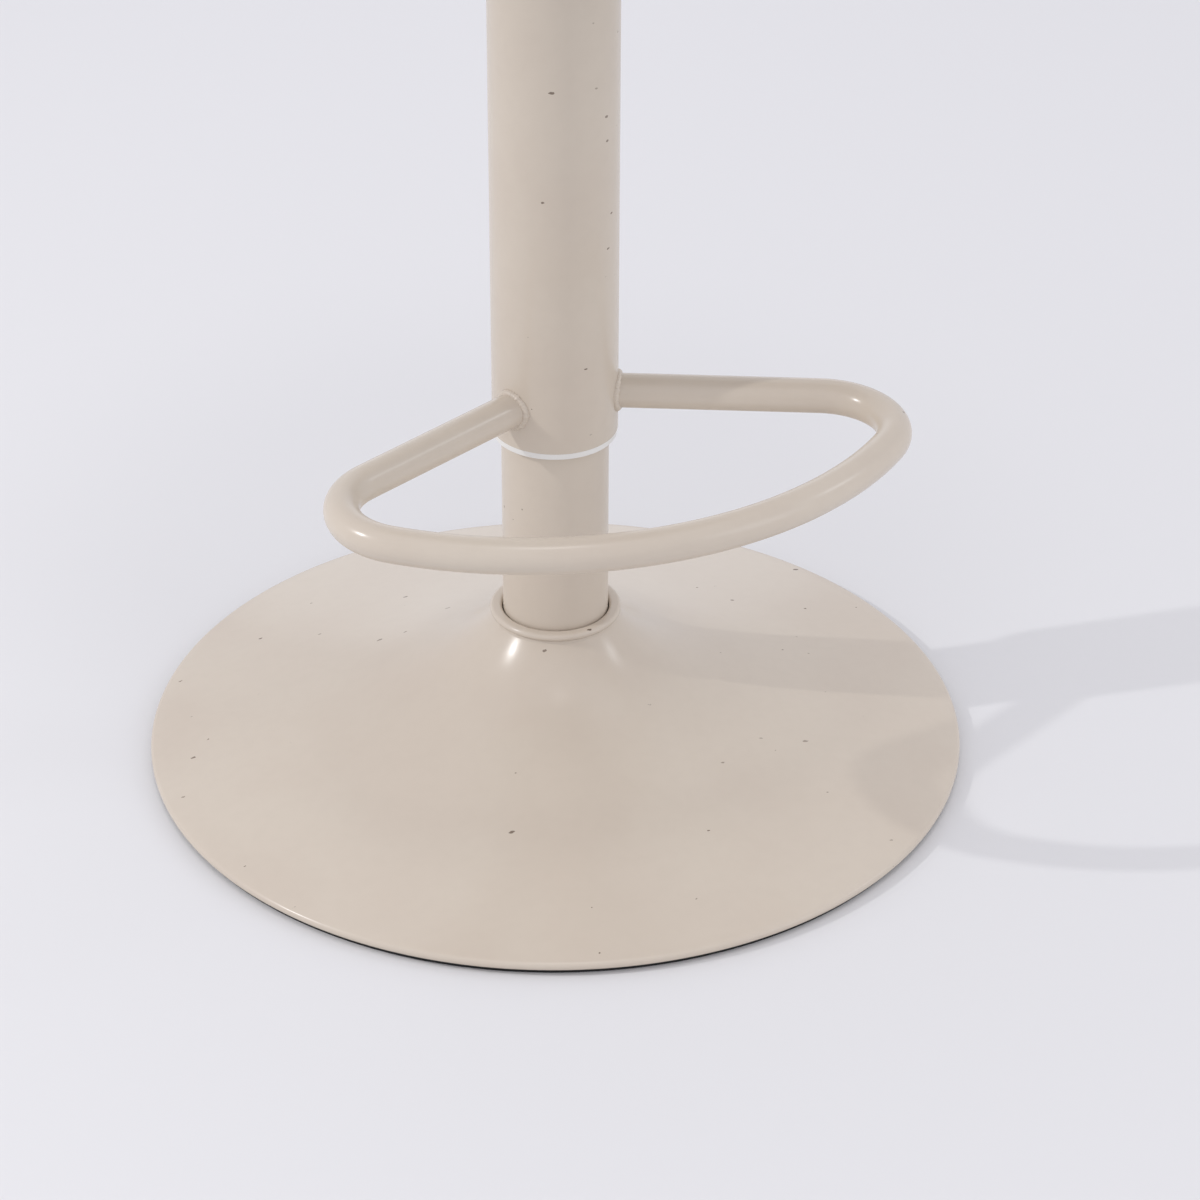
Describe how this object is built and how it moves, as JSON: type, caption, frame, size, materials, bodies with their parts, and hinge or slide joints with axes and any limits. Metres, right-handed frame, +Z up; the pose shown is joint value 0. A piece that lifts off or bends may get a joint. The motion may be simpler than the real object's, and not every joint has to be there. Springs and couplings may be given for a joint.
{
  "type": "bar stool",
  "caption": "Height-adjustable bar stool: trumpet base, gas-lift column, sliding sleeve with welded foot ring, release lever and round padded swivel seat.",
  "frame": {"origin": "floor level on the column's axis, at the middle of the round base", "axes": "+Z up along the column, -Y towards the front where the foot ring reaches out, +X to the sitter's left"},
  "size_m": [0.4, 0.4, 0.618],
  "materials": {
    "powder_coat": "satin beige powder coat with a very faint orange peel",
    "black_rubber": "matt black rubber",
    "black_paint": "semi-matt black paint",
    "bare_steel": "plain machined steel",
    "zinc_steel": "bright zinc plating",
    "chromed_rod": "hard chrome, ground and polished",
    "brass": "turned brass",
    "white_nylon": "white nylon, slightly translucent",
    "black_plastic": "fine-textured black plastic",
    "plywood": "raw birch plywood",
    "seat_foam": "moulded foam",
    "leatherette": "beige leatherette with a fine pebbled grain",
    "dust_cloth": "black non-woven cloth"
  },
  "bodies": {
    "base": {"base_cover": "powder_coat", "floor_ring": "black_rubber", "closing_sheet": "black_paint", "ballast_disc": "black_paint", "neck_bead": "powder_coat", "column_seal": "black_rubber", "fixed_column": "powder_coat", "column_flange": "black_paint", "column_weld": "bare_steel", "flange_screws": "zinc_steel", "weld_nuts": "zinc_steel", "foot_plug": "bare_steel", "lower_race": "bare_steel", "guide_bush": "black_plastic", "glide_ring": "white_nylon"},
    "rod": {"piston_rod": "chromed_rod", "piston": "bare_steel", "piston_seal": "black_rubber", "piston_nut": "zinc_steel", "bearing_cage": "brass", "bearing_balls": "bare_steel", "upper_race": "bare_steel", "rod_buffer": "black_rubber", "rod_clip": "zinc_steel"},
    "seat": {"gas_tube": "black_paint", "rod_guide": "bare_steel", "valve_body": "brass", "sleeve": "powder_coat", "sleeve_bush": "white_nylon", "foot_ring": "powder_coat", "foot_ring_welds": "powder_coat", "taper_hub": "bare_steel", "seat_plate": "black_paint", "plate_welds": "bare_steel", "lever_bracket": "black_paint", "lever_pivot": "zinc_steel", "seat_bolts": "zinc_steel", "bolt_washers": "zinc_steel", "tee_nuts": "zinc_steel", "seat_board": "plywood", "seat_foam": "seat_foam", "seat_top_panel": "leatherette", "seat_band": "leatherette", "welt_top": "leatherette", "welt_bottom": "leatherette", "dust_cloth": "dust_cloth", "dust_cloth_staples": "zinc_steel"},
    "lever": {"lever_rocker": "bare_steel", "lever_rod": "black_paint", "lever_grip": "black_plastic"},
    "release": {"release_pin": "zinc_steel"}
  },
  "joints": [
    {"name": "swivel", "type": "hinge", "parent": "base", "child": "rod", "pos_m": [0, 0, 0.02275], "axis": [0, 0, 1], "continuous": true},
    {"name": "height", "type": "slide", "parent": "rod", "child": "seat", "axis": [0, 0, 1], "range_m": [0, 0.2]},
    {"name": "lever_lift", "type": "hinge", "parent": "seat", "child": "lever", "pos_m": [0.022, 0, 0.514], "axis": [0, -1, 0], "range_deg": [0, 6.5]},
    {"name": "release_press", "type": "slide", "parent": "seat", "child": "release", "axis": [0, 0, -1], "range_m": [0, 0.0025], "stiffness_N_per_m": 500, "springref_m": -0.0035}
  ],
  "couplings": [
    {"joint": "release_press", "follows": "lever_lift", "m_per_rad": 0.022}
  ]
}
